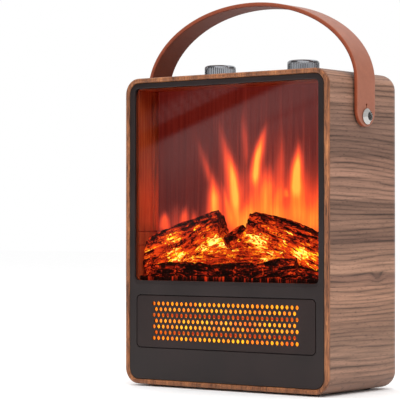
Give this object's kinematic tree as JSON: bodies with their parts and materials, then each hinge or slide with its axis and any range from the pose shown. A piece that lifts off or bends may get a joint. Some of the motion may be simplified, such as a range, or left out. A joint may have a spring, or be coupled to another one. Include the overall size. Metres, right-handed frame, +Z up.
{
  "type": "ceramic space heater",
  "caption": "Portable box-shaped ceramic fan heater with a lit flame display behind glass, a perforated outlet, control knobs on top and a leather carrying strap.",
  "frame": {"origin": "middle of the footprint, on the surface that the feet stand on", "axes": "+Z up, the window and grille face -Y, +X to the right seen from the front"},
  "size_m": [0.2592, 0.127, 0.3732],
  "materials": {
    "walnut_film": "satin wood-grain film on a moulded shell",
    "oak_trim": "satin light wood trim",
    "charcoal_plastic": "fine moulded texture",
    "window_glass": "clear polished",
    "black_rubber": "matte",
    "grille_steel": "dark powder coat",
    "zinc_steel": "zinc plated",
    "liner_board": "wood-look panels",
    "log_resin": "painted translucent resin",
    "flame_film": "translucent diffuser",
    "sheet_steel": "galvanised",
    "circuit_board": "white solder mask",
    "led_lens": "clear resin",
    "mirror_strip": "bright",
    "bronze": "sintered",
    "ptc_ceramic": "fired, unglazed",
    "fin_aluminium": "rolled",
    "frame_resin": "glass filled",
    "impeller_aluminium": "pressed",
    "bright_steel": "ground",
    "lamination": "stacked sheet",
    "copper_coil": "taped winding",
    "control_plastic": "moulded",
    "chrome": "polished, fluted",
    "pointer_paint": "enamel",
    "tan_leather": "smooth, dyed edges",
    "stud_steel": "polished",
    "cover_plastic": "fine moulded texture",
    "terminal_plastic": "moulded",
    "loom_sleeve": "braided sleeve"
  },
  "bodies": {
    "casing": {"base_plate": "cover_plastic", "base_screws": "zinc_steel", "blower_scroll": "frame_resin", "control_nuts": "zinc_steel", "cord_gland": "cover_plastic", "fan_bushes": "bronze", "fan_coil": "copper_coil", "fan_stator": "lamination", "feet": "black_rubber", "firebox_liner": "liner_board", "flame_motor": "zinc_steel", "flame_screen": "flame_film", "flame_shade": "sheet_steel", "front_panel": "charcoal_plastic", "front_rim": "oak_trim", "gland_nut": "cover_plastic", "glass_gasket": "black_rubber", "grille_plate": "grille_steel", "grille_screws": "zinc_steel", "housing_shell": "walnut_film", "lamp_tray": "sheet_steel", "led_board": "circuit_board", "leds": "led_lens", "liner_screws": "zinc_steel", "log_bed": "log_resin", "mode_switch": "control_plastic", "motor_bridges": "sheet_steel", "panel_screws": "zinc_steel", "ptc_electrodes": "fin_aluminium", "ptc_fins": "fin_aluminium", "ptc_frame": "frame_resin", "ptc_stones": "ptc_ceramic", "rear_cover": "cover_plastic", "rear_screws": "zinc_steel", "spindle_bush": "bronze", "stud_left": "stud_steel", "stud_nuts": "zinc_steel", "stud_right": "stud_steel", "stud_spacers": "stud_steel", "terminal_block": "terminal_plastic", "thermal_cutout": "ptc_ceramic", "thermal_fuse": "bright_steel", "thermostat": "control_plastic", "tip_switch": "control_plastic", "window_glass": "window_glass", "wiring_loom": "loom_sleeve"},
    "handle": {"handle_strap": "tan_leather"},
    "thermostat_knob": {"knob_left": "chrome", "pointer_left": "pointer_paint", "thermostat_spindle": "bright_steel"},
    "mode_knob": {"knob_right": "chrome", "pointer_right": "pointer_paint", "mode_switch_spindle": "bright_steel"},
    "fan": {"fan_wheel": "impeller_aluminium", "fan_shaft": "bright_steel", "fan_rotor": "bright_steel"},
    "flame_drum": {"flame_spindle": "mirror_strip"}
  },
  "joints": [
    {"name": "handle_swing", "type": "hinge", "parent": "casing", "child": "handle", "pos_m": [0, -0.0058, 0.259], "axis": [1, 0, 0], "range_deg": [-30, 30]},
    {"name": "thermostat_turn", "type": "hinge", "parent": "casing", "child": "thermostat_knob", "pos_m": [-0.05, 0, 0.303], "axis": [0, 0, -1], "range_deg": [0, 270]},
    {"name": "mode_turn", "type": "hinge", "parent": "casing", "child": "mode_knob", "pos_m": [0.05, 0, 0.303], "axis": [0, 0, -1], "range_deg": [0, 180]},
    {"name": "fan_spin", "type": "hinge", "parent": "casing", "child": "fan", "pos_m": [0, 0.01, 0.061], "axis": [1, 0, 0], "continuous": true},
    {"name": "flame_spin", "type": "hinge", "parent": "casing", "child": "flame_drum", "pos_m": [0, -0.006, 0.116], "axis": [1, 0, 0], "continuous": true}
  ]
}
